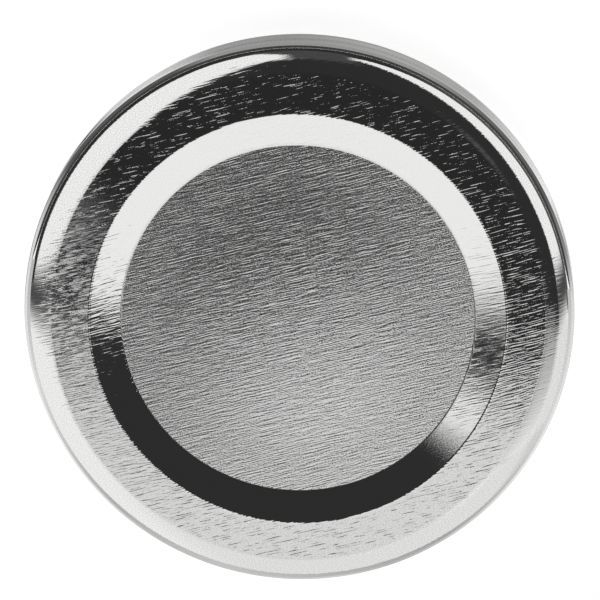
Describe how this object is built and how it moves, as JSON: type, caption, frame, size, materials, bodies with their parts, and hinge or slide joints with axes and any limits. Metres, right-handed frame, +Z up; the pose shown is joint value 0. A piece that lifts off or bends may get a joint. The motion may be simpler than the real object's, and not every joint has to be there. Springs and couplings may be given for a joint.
{
  "type": "twist-off jar lid",
  "caption": "Pressed tinplate twist-off jar lid with a sunk centre panel, a rolled edge, lugs that grip the jar's thread and a sealing ring under the rim.",
  "frame": {"origin": "centre of the circle that the curl stands on, at the foot of the lid", "axes": "+Z up along the lid's axis and out of the top; +X and +Y each pass midway between two lugs"},
  "size_m": [0.07, 0.07, 0.0102],
  "materials": {
    "tinplate": "bright tinplate with a fine straight grain, clear lacquered",
    "sealing_compound": "soft, smooth off-white plastisol"
  },
  "bodies": {
    "root": {"shell": "tinplate", "sealing_ring": "sealing_compound"}
  },
  "joints": []
}
